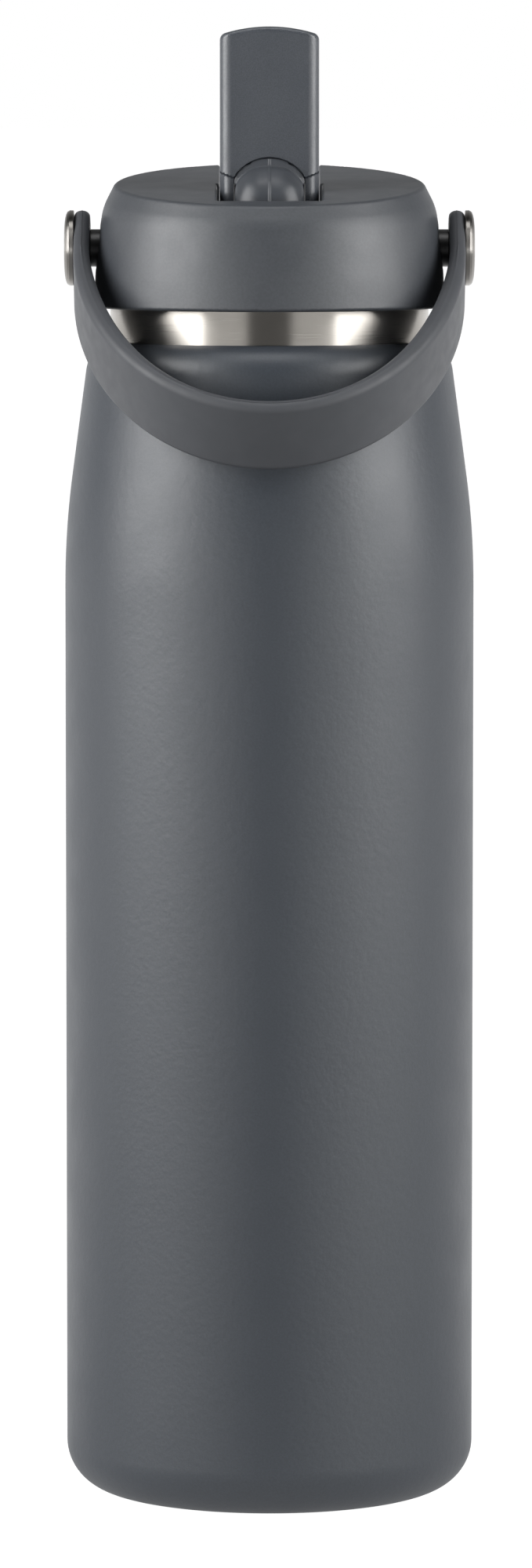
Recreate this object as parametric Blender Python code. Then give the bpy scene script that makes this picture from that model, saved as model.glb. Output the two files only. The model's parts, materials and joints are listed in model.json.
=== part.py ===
"""Double-wall insulated steel bottle with a screw lid, a flip spout and a swinging strap handle.

Metres, +Z up.  The origin is the centre of the flat base.  The carrying handle hangs towards -Y,
the spout folds back towards +Y, and the two handle pivots lie on the X axis.
"""
import math

import bmesh
import bpy
from mathutils import Matrix, Vector

MM = 0.001
GAP = 0.3 * MM                      # clearance kept between neighbouring pieces
TURN_SEGMENTS = 36                  # facets round the large turned parts
SMALL_SEGMENTS = 16                 # facets round pins, tubes and bosses

# Vessel
BODY_RADIUS = 36.75 * MM
SHELL_WALL = 0.5 * MM
BASE_FILLET = 8.85 * MM
BASE_OPENING_RADIUS = 27.0 * MM
SHOULDER_START_Z = 164.0 * MM
SHOULDER_CURVE_RADIUS = 150.0 * MM
SHOULDER_SLOPE = math.radians(7.6)
SHOULDER_TOP_Z = 207.9 * MM
SHOULDER_EDGE_RADIUS = 6.35 * MM
SHOULDER_EDGE_END = math.radians(69.3)  # slope at which the rounded edge meets the neck ring
LINER_RADIUS = 33.4 * MM
LINER_WALL = 0.45 * MM
LINER_BOTTOM_Z = 5.6 * MM
LINER_FILLET = 8.0 * MM
LINER_SHOULDER_Z = 166.0 * MM
LINER_NECK_Z = 192.0 * MM
LINER_NECK_RADIUS = 28.0 * MM
COVER_RADIUS = 26.6 * MM
COVER_THICKNESS = 0.9 * MM
BASE_CUP_RADIUS = 29.4 * MM
BASE_CUP_THICKNESS = 0.6 * MM
PORT_RADIUS = 1.6 * MM              # evacuation port in the base cup
SEAL_HEAD = 0.8 * MM
GETTER_RADIUS = 4.0 * MM
GETTER_THICKNESS = 1.2 * MM
GETTER_X = 13.0 * MM

# Neck and thread
NECK_BOTTOM_Z = 200.0 * MM
NECK_RIM_Z = 217.0 * MM
NECK_BORE_RADIUS = 26.3 * MM
NECK_RIM_ROUND = 0.6 * MM
THREAD_LEAD = 4.0 * MM
THREAD_DEPTH = 1.0 * MM
THREAD_ROOT_WIDTH = 1.7 * MM
THREAD_CREST_WIDTH = 0.9 * MM
NECK_THREAD_Z = 206.0 * MM
NECK_THREAD_TURNS = 1.75
PLUG_THREAD_TURNS = 1.5

# Lid
LID_BOTTOM_Z = 213.9 * MM
LID_TOP_Z = 235.9 * MM              # at the centre of the slanted top
LID_TILT = math.radians(7.0)        # the top rises towards the back
LID_BOTTOM_RADIUS = 31.4 * MM
LID_BARREL = 1.6 * MM               # how far the wall draws in up to the foot of the chamfer
LID_FOOT_HEIGHT = 18.0 * MM
LID_RIM_RADIUS = 27.75 * MM
LID_EDGE_ROUND = 0.7 * MM
SKIRT_INNER_RADIUS = 29.3 * MM
LID_CEILING_Z = 219.3 * MM
PLUG_RADIUS = 24.9 * MM
PLUG_WALL = 1.7 * MM
PLUG_BOTTOM_Z = 197.5 * MM
PLUG_FLOOR = 1.8 * MM
GASKET_INNER_RADIUS = 25.4 * MM
GASKET_OUTER_RADIUS = 28.2 * MM

# Drinking path
STRAW_Y = -9.0 * MM
STRAW_RADIUS = 4.5 * MM
STRAW_BORE_RADIUS = 3.7 * MM
STRAW_BOTTOM_Z = 9.0 * MM
STRAW_TOP_Z = 209.5 * MM
SOCKET_RADIUS = 6.3 * MM
SOCKET_BORE_RADIUS = 3.2 * MM
VENT_Y = 14.0 * MM
VENT_BOSS_RADIUS = 3.5 * MM
VENT_BORE_RADIUS = 2.6 * MM
VENT_HOLE_RADIUS = 1.2 * MM
VENT_FLAP = 1.0 * MM
ELBOW_BASE_RADIUS = 4.7 * MM
ELBOW_BORE_RADIUS = 2.6 * MM
ELBOW_WALL = 1.1 * MM
ELBOW_KNEE = (                      # y, z, half width, half depth in mm, and forward lean in degrees
    (-10.2, 228.2, 6.1, 5.6, 8),
    (-11.2, 231.6, 6.4, 6.2, 0),
    (-9.6, 234.8, 6.1, 5.2, -25),
    (-6.6, 237.6, 5.6, 3.0, -30),
)
ELBOW_END_HALF_WIDTH = 5.4 * MM
ELBOW_END_HALF_DEPTH = 2.7 * MM

# Spout, in its own frame: s runs from the hinge axis to the tip, q from the axis to the outer face
HINGE_Y = -5.6 * MM
SPOUT_FACE_Q = 5.0 * MM
SPOUT_BACK_Q = -4.0 * MM
SPOUT_HALF_WIDTH = 8.85 * MM
SPOUT_LENGTH = 33.8 * MM
SPOUT_EDGE_ROUND = 2.0 * MM
SPOUT_CHEEK = 2.1 * MM
SPOUT_PLATE = 2.0 * MM
SPOUT_TIP_WALL = 1.6 * MM
WINDOW_TOP_S = 10.6 * MM
WINDOW_FOOT_S = 7.2 * MM
WINDOW_HALF_WIDTH = 6.3 * MM
MOUTHPIECE_START_S = 10.2 * MM
MOUTHPIECE_HALF_WIDTH = 6.3 * MM
MOUTHPIECE_ROUND = 2.2 * MM
MOUTHPIECE_BORE_RADIUS = 2.3 * MM
SLOT_HALF_WIDTH = 9.4 * MM
SLOT_FRONT_Y = -21.3 * MM
SLOT_STEP_Y = 1.0 * MM              # the slot is wider in front of this, round the hinge
SLOT_REAR_HALF_WIDTH = SPOUT_HALF_WIDTH + GAP
SLOT_DEPTH = 10.5 * MM
SPOUT_PIN_RADIUS = 1.2 * MM
SPOUT_PIN_INNER_X = 7.0 * MM
SPOUT_PIN_OUTER_X = 12.6 * MM

# Handle, in its own frame: v runs from the pivot axis to the far end of the loop
PIVOT_Z = 224.5 * MM
HANDLE_HANG = math.radians(37.5)    # below the horizontal, at rest on the shoulder
ARM_INNER_X = 32.2 * MM
STRAP_THICKNESS = 2.8 * MM
STRAP_HALF_WIDTH = 6.7 * MM
STRAP_ROUND = 1.2 * MM
STRAP_FLARE = 0.5 * MM              # the loop's lower edge stands out, its upper edge draws in
STRAP_WIDENING = 0.2 * MM           # extra half width at the middle of the loop
STRAP_BEND_EXTRA = 1.3 * MM         # the strap is thicker inside where each arm bends into the loop
ARM_STRAIGHT = 7.2 * MM
LOOP_INNER_LENGTH = 43.6 * MM
LOOP_OUTER_LENGTH = 46.2 * MM
LOOP_STEPS = 18
POST_RADIUS = 3.35 * MM
POST_SHANK_RADIUS = 2.5 * MM
POST_INNER_X = 26.3 * MM
RIVET_RADIUS = 6.8 * MM
RIVET_RIM = 0.7 * MM
RIVET_THICKNESS = 1.5 * MM
RIVET_STEM_RADIUS = 1.2 * MM
RIVET_STEM_LENGTH = 4.5 * MM


def lid_top_at(y):
    """Height of the slanted lid top at a distance y behind the centre."""
    return LID_TOP_Z + y * math.tan(LID_TILT)


HINGE_Z = lid_top_at(HINGE_Y) - SPOUT_FACE_Q / math.cos(LID_TILT)


# ---------------------------------------------------------------- materials

def material(name, colour, roughness, metallic=0.0):
    made = bpy.data.materials.new(name)
    made.use_nodes = True
    shader = made.node_tree.nodes["Principled BSDF"]
    shader.inputs["Base Color"].default_value = (*colour, 1.0)
    shader.inputs["Roughness"].default_value = roughness
    shader.inputs["Metallic"].default_value = metallic
    return made


def make_materials():
    return {
        "slate_coat": material("slate_coat", (0.105, 0.115, 0.13), 0.5),
        "bare_steel": material("bare_steel", (0.62, 0.60, 0.57), 0.3, 1.0),
        "grey_plastic": material("grey_plastic", (0.16, 0.17, 0.18), 0.55),
        "grey_silicone": material("grey_silicone", (0.15, 0.16, 0.17), 0.4),
        "strap_rubber": material("strap_rubber", (0.10, 0.11, 0.12), 0.6),
        "black_plastic": material("black_plastic", (0.03, 0.03, 0.03), 0.5),
        "clear_plastic": material("clear_plastic", (0.75, 0.76, 0.76), 0.3),
        "white_foam": material("white_foam", (0.85, 0.85, 0.83), 0.9),
    }


# ---------------------------------------------------------------- mesh helpers

def object_from(name, mesh_builder, finish, parent):
    """Makes the named object from a bmesh, shaded smooth with sharp edges kept."""
    bmesh.ops.recalc_face_normals(mesh_builder, faces=mesh_builder.faces)
    mesh = bpy.data.meshes.new(name)
    mesh_builder.to_mesh(mesh)
    mesh_builder.free()
    if finish is not None:
        mesh.materials.append(finish)
    mesh.shade_smooth()
    mesh.set_sharp_from_angle(angle=math.radians(35))
    made = bpy.data.objects.new(name, mesh)
    bpy.context.scene.collection.objects.link(made)
    if parent is not None:
        made.parent = parent
        made.matrix_parent_inverse = parent.matrix_basis.inverted()
    return made


def tool_from(name, mesh_builder):
    """A hidden shape that is only cut away from, joined to or intersected with a piece."""
    made = object_from(name, mesh_builder, None, None)
    made.hide_render = True
    made.display_type = "WIRE"
    return made


def combine(piece, operation, tool):
    modifier = piece.modifiers.new(operation.lower(), "BOOLEAN")
    modifier.operation = operation
    modifier.solver = "EXACT"
    modifier.object = tool


def cut(piece, tool):
    combine(piece, "DIFFERENCE", tool)


def join(piece, tool):
    combine(piece, "UNION", tool)


def arc(centre, radius, start_deg, end_deg, steps):
    """Points on an arc; the angle is measured from the first axis towards the second."""
    points = []
    for i in range(steps + 1):
        angle = math.radians(start_deg + (end_deg - start_deg) * i / steps)
        points.append((centre[0] + radius * math.cos(angle), centre[1] + radius * math.sin(angle)))
    return points


def turned(profile, segments=TURN_SEGMENTS):
    """Turns a closed (radius, z) outline about Z; points at radius 0 close the shape on the axis."""
    builder = bmesh.new()
    rings = []
    for radius, z in profile:
        if radius == 0.0:
            rings.append([builder.verts.new((0.0, 0.0, z))])
            continue
        turn = [math.tau * k / segments for k in range(segments)]
        rings.append([builder.verts.new((radius * math.cos(a), radius * math.sin(a), z)) for a in turn])
    for lower, upper in zip(rings, rings[1:] + rings[:1]):
        bridge(builder, lower, upper)
    return builder


def bridge(builder, first, second):
    """Faces between two rings of vertices, either of which may be a single point."""
    count = max(len(first), len(second))
    if count == 1:
        return
    for k in range(count):
        after = (k + 1) % count
        corners = [first[k % len(first)], first[after % len(first)],
                   second[after % len(second)], second[k % len(second)]]
        unique = list(dict.fromkeys(corners))
        builder.faces.new(unique)


def lofted(rings):
    """Closed skin over rings of points, with a flat cap on the first and the last."""
    builder = bmesh.new()
    made = [[builder.verts.new(point) for point in ring] for ring in rings]
    for lower, upper in zip(made, made[1:]):
        bridge(builder, lower, upper)
    builder.faces.new(list(reversed(made[0])))
    builder.faces.new(made[-1])
    return builder


def prism(outline, low, high, place):
    """Extrudes an outline of 2-D points from low to high; place(u, v, w) gives the 3-D point."""
    return lofted([[place(u, v, w) for u, v in outline] for w in (low, high)])


def cylinder(radius, low, high, segments=SMALL_SEGMENTS):
    return turned([(0.0, low), (radius, low), (radius, high), (0.0, high)], segments)


def moved(builder, matrix):
    bmesh.ops.transform(builder, matrix=matrix, verts=builder.verts)
    return builder


def shifted(builder, x=0.0, y=0.0, z=0.0):
    return moved(builder, Matrix.Translation((x, y, z)))


def along_x(builder, side, y, z):
    """Lays a shape made along Z on the X axis, pointing outwards on the given side, at (y, z)."""
    lay = Matrix.Rotation(side * math.pi / 2, 4, "Y")
    return moved(builder, Matrix.Translation((0.0, y, z)) @ lay)


def rounded_rectangle(half_width, half_height, radius, steps=2):
    """Outline of a rectangle with round corners, centred on the origin."""
    points = []
    for number, (sx, sy) in enumerate(((1, 1), (-1, 1), (-1, -1), (1, -1))):
        centre = (sx * (half_width - radius), sy * (half_height - radius))
        points += arc(centre, radius, 90 * number, 90 * number + 90, steps)
    return points


def helical_ridge(wall_radius, crest_radius, start_z, turns, phase):
    """A right-hand thread ridge, rooted a little inside its wall, that fades out at both ends."""
    inward = 1.0 if crest_radius < wall_radius else -1.0
    root_radius = wall_radius + inward * 0.4 * MM
    steps = int(turns * TURN_SEGMENTS)
    fade_steps = TURN_SEGMENTS / 8
    rings = []
    for k in range(steps + 1):
        grown = max(0.08, min(1.0, k / fade_steps, (steps - k) / fade_steps))
        crest = wall_radius + (crest_radius - wall_radius) * grown
        angle = phase + math.tau * k / TURN_SEGMENTS
        z = start_z + THREAD_LEAD * k / TURN_SEGMENTS
        section = [(root_radius, z - THREAD_ROOT_WIDTH / 2), (crest, z - THREAD_CREST_WIDTH / 2),
                   (crest, z + THREAD_CREST_WIDTH / 2), (root_radius, z + THREAD_ROOT_WIDTH / 2)]
        rings.append([(r * math.cos(angle), r * math.sin(angle), height) for r, height in section])
    return lofted(rings)


# ---------------------------------------------------------------- vessel

def shell_side(offset):
    """Outline of the outer wall from base to neck hole, moved inwards by offset; the hole stays."""
    fillet_centre = (BODY_RADIUS - BASE_FILLET, BASE_FILLET)
    bend_centre = (BODY_RADIUS - SHOULDER_CURVE_RADIUS, SHOULDER_START_Z)
    slope_deg = math.degrees(SHOULDER_SLOPE)
    edge_centre_z = SHOULDER_TOP_Z - SHOULDER_EDGE_RADIUS * math.sin(SHOULDER_EDGE_END)
    bend_end = arc(bend_centre, SHOULDER_CURVE_RADIUS, 0, slope_deg, 1)[-1]
    edge_start_z = edge_centre_z + SHOULDER_EDGE_RADIUS * math.sin(SHOULDER_SLOPE)
    edge_start_r = bend_end[0] - (edge_start_z - bend_end[1]) * math.tan(SHOULDER_SLOPE)
    edge_centre = (edge_start_r - SHOULDER_EDGE_RADIUS * math.cos(SHOULDER_SLOPE), edge_centre_z)
    edge_radius = SHOULDER_EDGE_RADIUS - offset
    hole_reach = SHOULDER_EDGE_RADIUS * math.cos(SHOULDER_EDGE_END)
    end_deg = math.degrees(math.acos(hole_reach / edge_radius))
    return (arc(fillet_centre, BASE_FILLET - offset, -90, 0, 5)
            + arc(bend_centre, SHOULDER_CURVE_RADIUS - offset, 0, slope_deg, 3)
            + arc(edge_centre, edge_radius, slope_deg, end_deg, 5))


NECK_HOLE_RADIUS = shell_side(0.0)[-1][0]
NECK_RADIUS = NECK_HOLE_RADIUS - GAP


def make_outer_shell(finish, body):
    outer = [(BASE_OPENING_RADIUS, 0.0)] + shell_side(0.0)
    inner = list(reversed(shell_side(SHELL_WALL))) + [(BASE_OPENING_RADIUS, SHELL_WALL)]
    object_from("outer_shell", turned(outer + inner), finish, body)


def make_inner_liner(finish, body):
    def side(offset):
        fillet_centre = (LINER_RADIUS - LINER_FILLET, LINER_BOTTOM_Z + LINER_FILLET)
        return ([(0.0, LINER_BOTTOM_Z + offset)]
                + arc(fillet_centre, LINER_FILLET - offset, -90, 0, 4)
                + [(LINER_RADIUS - offset, LINER_SHOULDER_Z), (LINER_NECK_RADIUS - offset, LINER_NECK_Z)])
    neck_top = NECK_BOTTOM_Z - GAP
    outer = side(0.0) + [(LINER_NECK_RADIUS, neck_top), (NECK_BORE_RADIUS, neck_top)]
    inner = side(LINER_WALL)
    inner[-1] = (NECK_BORE_RADIUS, LINER_NECK_Z - LINER_WALL)
    object_from("inner_liner", turned(outer + list(reversed(inner))), finish, body)


def make_neck_ring(finish, body):
    rim_centre_z = NECK_RIM_Z - NECK_RIM_ROUND
    profile = [(NECK_BORE_RADIUS, NECK_BOTTOM_Z), (NECK_RADIUS, NECK_BOTTOM_Z)]
    profile += arc((NECK_RADIUS - NECK_RIM_ROUND, rim_centre_z), NECK_RIM_ROUND, 0, 90, 2)
    profile += arc((NECK_BORE_RADIUS + NECK_RIM_ROUND, rim_centre_z), NECK_RIM_ROUND, 90, 180, 2)
    ring = object_from("neck_ring", turned(profile), finish, body)
    crest = NECK_BORE_RADIUS - THREAD_DEPTH
    ridge = helical_ridge(NECK_BORE_RADIUS, crest, NECK_THREAD_Z, NECK_THREAD_TURNS, 0.0)
    join(ring, tool_from("neck_thread_tool", ridge))


def make_base(steel, cover_finish, body):
    cup_z = COVER_THICKNESS + GAP
    cup = [(PORT_RADIUS, cup_z), (BASE_CUP_RADIUS, cup_z),
           (BASE_CUP_RADIUS, cup_z + BASE_CUP_THICKNESS), (PORT_RADIUS, cup_z + BASE_CUP_THICKNESS)]
    object_from("outer_base", turned(cup), steel, body)
    edge = 0.25 * MM
    cover = [(0.0, 0.0), (COVER_RADIUS - edge, 0.0), (COVER_RADIUS, edge),
             (COVER_RADIUS, COVER_THICKNESS), (0.0, COVER_THICKNESS)]
    object_from("base_cover", turned(cover), cover_finish, body)
    shelf_z = cup_z + BASE_CUP_THICKNESS + GAP
    stem_radius = PORT_RADIUS - GAP
    seal = [(0.0, cup_z), (stem_radius, cup_z), (stem_radius, shelf_z), (2 * stem_radius, shelf_z),
            (1.5 * stem_radius, shelf_z + SEAL_HEAD), (0.0, shelf_z + SEAL_HEAD)]
    object_from("vacuum_seal", turned(seal, SMALL_SEGMENTS), steel, body)
    getter_top = LINER_BOTTOM_Z - GAP
    getter = cylinder(GETTER_RADIUS, getter_top - GETTER_THICKNESS, getter_top)
    object_from("getter", shifted(getter, x=GETTER_X), steel, body)


# ---------------------------------------------------------------- lid

def lid_wall_radius(z):
    rise = (z - LID_BOTTOM_Z) / LID_FOOT_HEIGHT
    return LID_BOTTOM_RADIUS - LID_BARREL * rise * rise


def slant(builder):
    """Shears the lid upwards towards the back, more with height, so that its top slopes."""
    for vert in builder.verts:
        share = max(0.0, (vert.co.z - LID_CEILING_Z) / (LID_TOP_Z - LID_CEILING_Z))
        vert.co.z += vert.co.y * math.tan(LID_TILT) * share
    return builder


def make_lid_cap(finish, body):
    foot_z = LID_BOTTOM_Z + LID_FOOT_HEIGHT
    wall_levels = [LID_BOTTOM_Z + LID_EDGE_ROUND, LID_CEILING_Z, PIVOT_Z, foot_z - LID_EDGE_ROUND]
    profile = [(SKIRT_INNER_RADIUS, LID_BOTTOM_Z), (LID_BOTTOM_RADIUS - LID_EDGE_ROUND, LID_BOTTOM_Z)]
    profile += [(lid_wall_radius(z), z) for z in wall_levels]
    profile += [(lid_wall_radius(foot_z) - 0.25 * LID_EDGE_ROUND, foot_z)]
    profile += [(LID_RIM_RADIUS, LID_TOP_Z - 0.6 * LID_EDGE_ROUND)]
    profile += [(LID_RIM_RADIUS - LID_EDGE_ROUND, LID_TOP_Z), (0.0, LID_TOP_Z)]
    profile += [(0.0, LID_CEILING_Z), (SKIRT_INNER_RADIUS, LID_CEILING_Z)]
    cap = object_from("lid_cap", slant(turned(profile)), finish, body)

    back_y = 2 * LID_BOTTOM_RADIUS
    right_side = [(SLOT_HALF_WIDTH, SLOT_FRONT_Y), (SLOT_HALF_WIDTH, SLOT_STEP_Y),
                  (SLOT_REAR_HALF_WIDTH, SLOT_STEP_Y), (SLOT_REAR_HALF_WIDTH, back_y)]
    outline = right_side + [(-x, y) for x, y in reversed(right_side)]
    slot = prism(outline, -SLOT_DEPTH, SLOT_DEPTH, lambda x, y, w: (x, y, lid_top_at(y) + w))
    cut(cap, tool_from("lid_slot_tool", slot))

    holes = [("elbow_hole_tool", ELBOW_BASE_RADIUS + GAP, STRAW_Y),
             ("vent_hole_tool", VENT_HOLE_RADIUS, VENT_Y)]
    for name, radius, y in holes:
        hole = cylinder(radius, LID_CEILING_Z - MM, LID_TOP_Z)
        cut(cap, tool_from(name, shifted(hole, y=y)))
    for side, hand in ((-1, "left"), (1, "right")):
        post_hole = cylinder(POST_RADIUS + GAP, POST_INNER_X - GAP, 2 * LID_BOTTOM_RADIUS)
        cut(cap, tool_from(f"post_hole_tool_{hand}", along_x(post_hole, side, 0.0, PIVOT_Z)))
        pin_hole = cylinder(SPOUT_PIN_RADIUS + GAP, SLOT_HALF_WIDTH - MM, SPOUT_PIN_OUTER_X + GAP)
        cut(cap, tool_from(f"pin_hole_tool_{hand}", along_x(pin_hole, side, HINGE_Y, HINGE_Z)))


def make_lid_plug(finish, body):
    floor_z = PLUG_BOTTOM_Z + PLUG_FLOOR
    top_z = LID_CEILING_Z - GAP
    inner_radius = PLUG_RADIUS - PLUG_WALL
    edge = 0.8 * MM
    profile = [(0.0, PLUG_BOTTOM_Z), (PLUG_RADIUS - edge, PLUG_BOTTOM_Z),
               (PLUG_RADIUS, PLUG_BOTTOM_Z + edge), (PLUG_RADIUS, top_z), (inner_radius, top_z),
               (inner_radius, floor_z), (0.0, floor_z)]
    plug = object_from("lid_plug", turned(profile), finish, body)
    crest = PLUG_RADIUS + THREAD_DEPTH
    start_z = NECK_THREAD_Z + THREAD_LEAD / 2
    ridge = helical_ridge(PLUG_RADIUS, crest, start_z, PLUG_THREAD_TURNS, 0.0)
    join(plug, tool_from("plug_thread_tool", ridge))
    bosses = [("socket_tool", SOCKET_RADIUS, STRAW_Y), ("vent_tool", VENT_BOSS_RADIUS, VENT_Y)]
    for name, radius, y in bosses:
        boss = cylinder(radius, PLUG_BOTTOM_Z + PLUG_FLOOR / 2, top_z)
        join(plug, tool_from(name, shifted(boss, y=y)))
    step_z = STRAW_TOP_Z + GAP
    socket_bore = turned([(0.0, PLUG_BOTTOM_Z - MM), (STRAW_RADIUS + GAP, PLUG_BOTTOM_Z - MM),
                          (STRAW_RADIUS + GAP, step_z), (SOCKET_BORE_RADIUS, step_z),
                          (SOCKET_BORE_RADIUS, top_z + MM), (0.0, top_z + MM)], SMALL_SEGMENTS)
    cut(plug, tool_from("socket_bore_tool", shifted(socket_bore, y=STRAW_Y)))
    vent_bore = cylinder(VENT_BORE_RADIUS, PLUG_BOTTOM_Z - MM, top_z + MM)
    cut(plug, tool_from("vent_bore_tool", shifted(vent_bore, y=VENT_Y)))


def make_lid_foam(finish, body):
    low = PLUG_BOTTOM_Z + PLUG_FLOOR + GAP
    high = LID_CEILING_Z - 2 * GAP
    disc = cylinder(PLUG_RADIUS - PLUG_WALL - GAP, low, high, TURN_SEGMENTS)
    foam = object_from("lid_foam", disc, finish, body)
    holes = [("foam_socket_tool", SOCKET_RADIUS, STRAW_Y), ("foam_vent_tool", VENT_BOSS_RADIUS, VENT_Y)]
    for name, radius, y in holes:
        hole = cylinder(radius + GAP, low - MM, high + MM)
        cut(foam, tool_from(name, shifted(hole, y=y)))


def make_lid_gasket(finish, body):
    low = NECK_RIM_Z + GAP
    high = LID_CEILING_Z - GAP
    edge = 0.4 * MM
    profile = [(GASKET_INNER_RADIUS, low + edge), (GASKET_INNER_RADIUS + edge, low),
               (GASKET_OUTER_RADIUS - edge, low), (GASKET_OUTER_RADIUS, low + edge),
               (GASKET_OUTER_RADIUS, high - edge), (GASKET_OUTER_RADIUS - edge, high),
               (GASKET_INNER_RADIUS + edge, high), (GASKET_INNER_RADIUS, high - edge)]
    object_from("lid_gasket", turned(profile), finish, body)


def make_straw(finish, body):
    profile = [(STRAW_BORE_RADIUS, STRAW_BOTTOM_Z), (STRAW_RADIUS, STRAW_BOTTOM_Z),
               (STRAW_RADIUS, STRAW_TOP_Z), (STRAW_BORE_RADIUS, STRAW_TOP_Z)]
    object_from("straw", shifted(turned(profile, SMALL_SEGMENTS), y=STRAW_Y), finish, body)


def make_vent_valve(finish, body):
    """Umbrella valve: a stem in the vent bore with a soft flap under the plug."""
    stem_radius = VENT_BORE_RADIUS - GAP
    shelf_z = PLUG_BOTTOM_Z - GAP
    stem_top = PLUG_BOTTOM_Z + 3 * stem_radius
    profile = [(0.0, shelf_z - 1.5 * VENT_FLAP), (VENT_BOSS_RADIUS, shelf_z - VENT_FLAP),
               (VENT_BOSS_RADIUS + VENT_FLAP, shelf_z), (stem_radius, shelf_z),
               (stem_radius, stem_top - VENT_FLAP), (0.0, stem_top)]
    object_from("vent_valve", shifted(turned(profile, SMALL_SEGMENTS), y=VENT_Y), finish, body)


def elbow_ring(station, bore):
    """Ring of points round the soft tube at one station, on its outside or round its bore."""
    y, z, half_width, half_depth, lean_deg = station
    if bore:
        half_width = ELBOW_BORE_RADIUS
        half_depth = min(ELBOW_BORE_RADIUS, half_depth - ELBOW_WALL)
    lean = math.radians(lean_deg)
    points = []
    for k in range(SMALL_SEGMENTS):
        angle = math.tau * k / SMALL_SEGMENTS
        depth = half_depth * math.sin(angle)
        points.append((half_width * math.cos(angle), y + depth * math.cos(lean), z - depth * math.sin(lean)))
    return points


def make_flex_elbow(finish, body):
    """Soft drinking tube with a bulging knee in front of the spout's hinge, and a bore all through."""
    tube = (ELBOW_BASE_RADIUS, ELBOW_BASE_RADIUS, 0)
    stations = [(STRAW_Y, LID_CEILING_Z + 2 * GAP, *tube), (STRAW_Y, lid_top_at(STRAW_Y) - SLOT_DEPTH, *tube)]
    stations += [(*(size * MM for size in knee[:4]), knee[4]) for knee in ELBOW_KNEE]
    stations += [(HINGE_Y, HINGE_Z + MOUTHPIECE_START_S - GAP, ELBOW_END_HALF_WIDTH, ELBOW_END_HALF_DEPTH, 0)]
    builder = bmesh.new()
    outer = [[builder.verts.new(point) for point in elbow_ring(s, False)] for s in stations]
    inner = [[builder.verts.new(point) for point in elbow_ring(s, True)] for s in reversed(stations)]
    loop = outer + inner
    for lower, upper in zip(loop, loop[1:] + loop[:1]):
        bridge(builder, lower, upper)
    object_from("flex_elbow", builder, finish, body)


# ---------------------------------------------------------------- spout

def spout_point(x, s, q):
    """Spout coordinates to the raised spout's place: s is up, q is towards the front."""
    return (x, HINGE_Y - q, HINGE_Z + s)


def make_spout_shell(finish, body):
    middle_q = (SPOUT_FACE_Q + SPOUT_BACK_Q) / 2
    half_depth = (SPOUT_FACE_Q - SPOUT_BACK_Q) / 2
    knuckle = SPOUT_FACE_Q
    bar = prism(rounded_rectangle(SPOUT_HALF_WIDTH, half_depth, SPOUT_EDGE_ROUND, 3),
                -2 * knuckle, SPOUT_LENGTH + 2 * knuckle,
                lambda x, q, s: spout_point(x, s, q + middle_q))
    shell = object_from("spout_shell", bar, finish, body)

    # Side outline: a round knuckle about the hinge, then straight to past the tip.
    beyond = SPOUT_LENGTH + knuckle
    side = [(beyond, 2 * knuckle), (0.0, 2 * knuckle)] + arc((0.0, 0.0), knuckle, 90, 234, 8)
    side += [(beyond, -2 * knuckle)]
    outline = prism(side, -2 * SPOUT_HALF_WIDTH, 2 * SPOUT_HALF_WIDTH,
                    lambda s, q, x: spout_point(x, s, q))
    combine(shell, "INTERSECT", tool_from("spout_side_tool", outline))

    # Plan outline: the tip follows the lid's round rim when the spout is folded.
    rim_radius = LID_RIM_RADIUS
    rim_centre_s = SPOUT_LENGTH - rim_radius
    half_angle = math.degrees(math.asin(1.2 * SPOUT_HALF_WIDTH / rim_radius))
    tip = [(x, s) for s, x in arc((rim_centre_s, 0.0), rim_radius, -half_angle, half_angle, 8)]
    plan = [(-1.5 * SPOUT_HALF_WIDTH, -4 * knuckle), (1.5 * SPOUT_HALF_WIDTH, -4 * knuckle)]
    plan += list(reversed(tip))
    tip_shape = prism(plan, -4 * knuckle, 4 * knuckle, lambda x, s, q: spout_point(x, s, q))
    combine(shell, "INTERSECT", tool_from("spout_tip_tool", tip_shape))

    # Channel behind the plate, open at the back and at the hinge.
    inner = SPOUT_HALF_WIDTH - SPOUT_CHEEK
    channel = [(-inner, -3 * knuckle), (inner, -3 * knuckle),
               (inner, SPOUT_LENGTH - 2 * SPOUT_TIP_WALL), (-inner, SPOUT_LENGTH - 2 * SPOUT_TIP_WALL)]
    channel_shape = prism(channel, -3 * knuckle, SPOUT_FACE_Q - SPOUT_PLATE,
                          lambda x, s, q: spout_point(x, s, q))
    cut(shell, tool_from("spout_channel_tool", channel_shape))

    # Arched window in the plate, in front of the soft knee.
    rise = WINDOW_TOP_S - WINDOW_FOOT_S
    half = WINDOW_HALF_WIDTH
    arch_radius = (half * half + rise * rise) / (2 * rise)
    arch_angle = math.degrees(math.asin(half / arch_radius))
    arch_centre = (WINDOW_TOP_S - arch_radius, 0.0)
    arch = [(x, s) for s, x in arc(arch_centre, arch_radius, arch_angle, -arch_angle, 6)]
    window = [(-half, -3 * knuckle), (half, -3 * knuckle)] + arch
    window_shape = prism(window, 0.0, 2 * knuckle, lambda x, s, q: spout_point(x, s, q))
    cut(shell, tool_from("spout_window_tool", window_shape))

    pin_hole = along_x(cylinder(SPOUT_PIN_RADIUS + GAP, -2 * SPOUT_HALF_WIDTH, 2 * SPOUT_HALF_WIDTH),
                       1, HINGE_Y, HINGE_Z)
    cut(shell, tool_from("spout_pin_hole_tool", pin_hole))


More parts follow.
